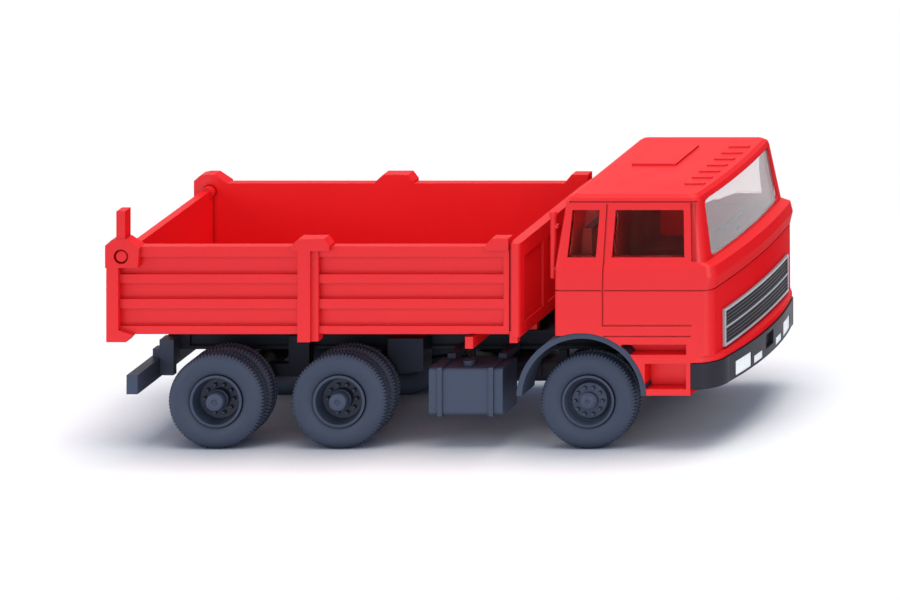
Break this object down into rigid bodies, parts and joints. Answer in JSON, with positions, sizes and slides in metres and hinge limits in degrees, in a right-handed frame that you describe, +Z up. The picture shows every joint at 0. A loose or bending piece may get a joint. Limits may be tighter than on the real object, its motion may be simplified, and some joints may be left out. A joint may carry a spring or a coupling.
{
  "type": "scale model dump truck",
  "caption": "Plastic scale model of a cab-over dump truck with a tipping high-sided bed, a hanging tailgate and rolling wheels.",
  "frame": {"origin": "on the ground below the middle of the model's length and width", "axes": "+X forward to the bumper, +Y to the truck's left, +Z up"},
  "size_m": [0.0786, 0.0286, 0.0321],
  "materials": {
    "red_plastic": "satin red moulded plastic",
    "anthracite_plastic": "anthracite moulded plastic",
    "black_plastic": "black moulded plastic",
    "tyre_plastic": "soft matt tyre plastic",
    "axle_steel": "plain steel pin",
    "clear_plastic": "clear moulded plastic",
    "lens_plastic": "clear lamp lens",
    "silver_print": "silver paint",
    "brown_plastic": "dark brown moulded plastic"
  },
  "bodies": {
    "chassis": {"battery_box": "anthracite_plastic", "bumper": "black_plastic", "cab_glazing": "clear_plastic", "cab_interior": "brown_plastic", "cab_shell": "red_plastic", "chassis_frame": "anthracite_plastic", "dashboard": "brown_plastic", "engine_gearbox": "anthracite_plastic", "front_axle_beam": "anthracite_plastic", "fuel_tank": "anthracite_plastic", "grille_frame": "silver_print", "grille_panel": "black_plastic", "headlamps": "lens_plastic", "mudguard_left": "anthracite_plastic", "mudguard_right": "anthracite_plastic", "prop_shafts": "anthracite_plastic", "rail_box_left": "anthracite_plastic", "rail_box_right": "anthracite_plastic", "rear_bogie": "anthracite_plastic", "seats": "brown_plastic", "steering_wheel": "brown_plastic", "underrun_beam": "anthracite_plastic"},
    "dump_bed": {"bed_floor": "red_plastic", "bed_headboard": "red_plastic", "bed_hinge_pin": "red_plastic", "bed_side_left": "red_plastic", "bed_side_right": "red_plastic", "bed_subframe": "red_plastic"},
    "tailgate": {"tailgate": "red_plastic"},
    "front_axle": {"front_axle_pin": "axle_steel", "front_axle_rim_left": "anthracite_plastic", "front_axle_rim_right": "anthracite_plastic", "front_axle_tyre_left": "tyre_plastic", "front_axle_tyre_right": "tyre_plastic"},
    "middle_axle": {"middle_axle_pin": "axle_steel", "middle_axle_rim_left": "anthracite_plastic", "middle_axle_rim_right": "anthracite_plastic", "middle_axle_tyre_inner_left": "tyre_plastic", "middle_axle_tyre_inner_right": "tyre_plastic", "middle_axle_tyre_outer_left": "tyre_plastic", "middle_axle_tyre_outer_right": "tyre_plastic"},
    "rear_axle": {"rear_axle_pin": "axle_steel", "rear_axle_rim_left": "anthracite_plastic", "rear_axle_rim_right": "anthracite_plastic", "rear_axle_tyre_inner_left": "tyre_plastic", "rear_axle_tyre_inner_right": "tyre_plastic", "rear_axle_tyre_outer_left": "tyre_plastic", "rear_axle_tyre_outer_right": "tyre_plastic"}
  },
  "joints": [
    {"name": "front_axle_spin", "type": "hinge", "parent": "chassis", "child": "front_axle", "pos_m": [0.02095, 0, 0.006], "axis": [0, 1, 0], "continuous": true},
    {"name": "middle_axle_spin", "type": "hinge", "parent": "chassis", "child": "middle_axle", "pos_m": [-0.01045, 0, 0.006], "axis": [0, 1, 0], "continuous": true},
    {"name": "rear_axle_spin", "type": "hinge", "parent": "chassis", "child": "rear_axle", "pos_m": [-0.02595, 0, 0.006], "axis": [0, 1, 0], "continuous": true},
    {"name": "bed_tilt", "type": "hinge", "parent": "chassis", "child": "dump_bed", "pos_m": [-0.0334, 0, 0.0134], "axis": [0, -1, 0], "range_deg": [0, 45]},
    {"name": "tailgate_swing", "type": "hinge", "parent": "dump_bed", "child": "tailgate", "pos_m": [-0.03725, 0, 0.0247], "axis": [0, 1, 0], "range_deg": [0, 75]}
  ]
}
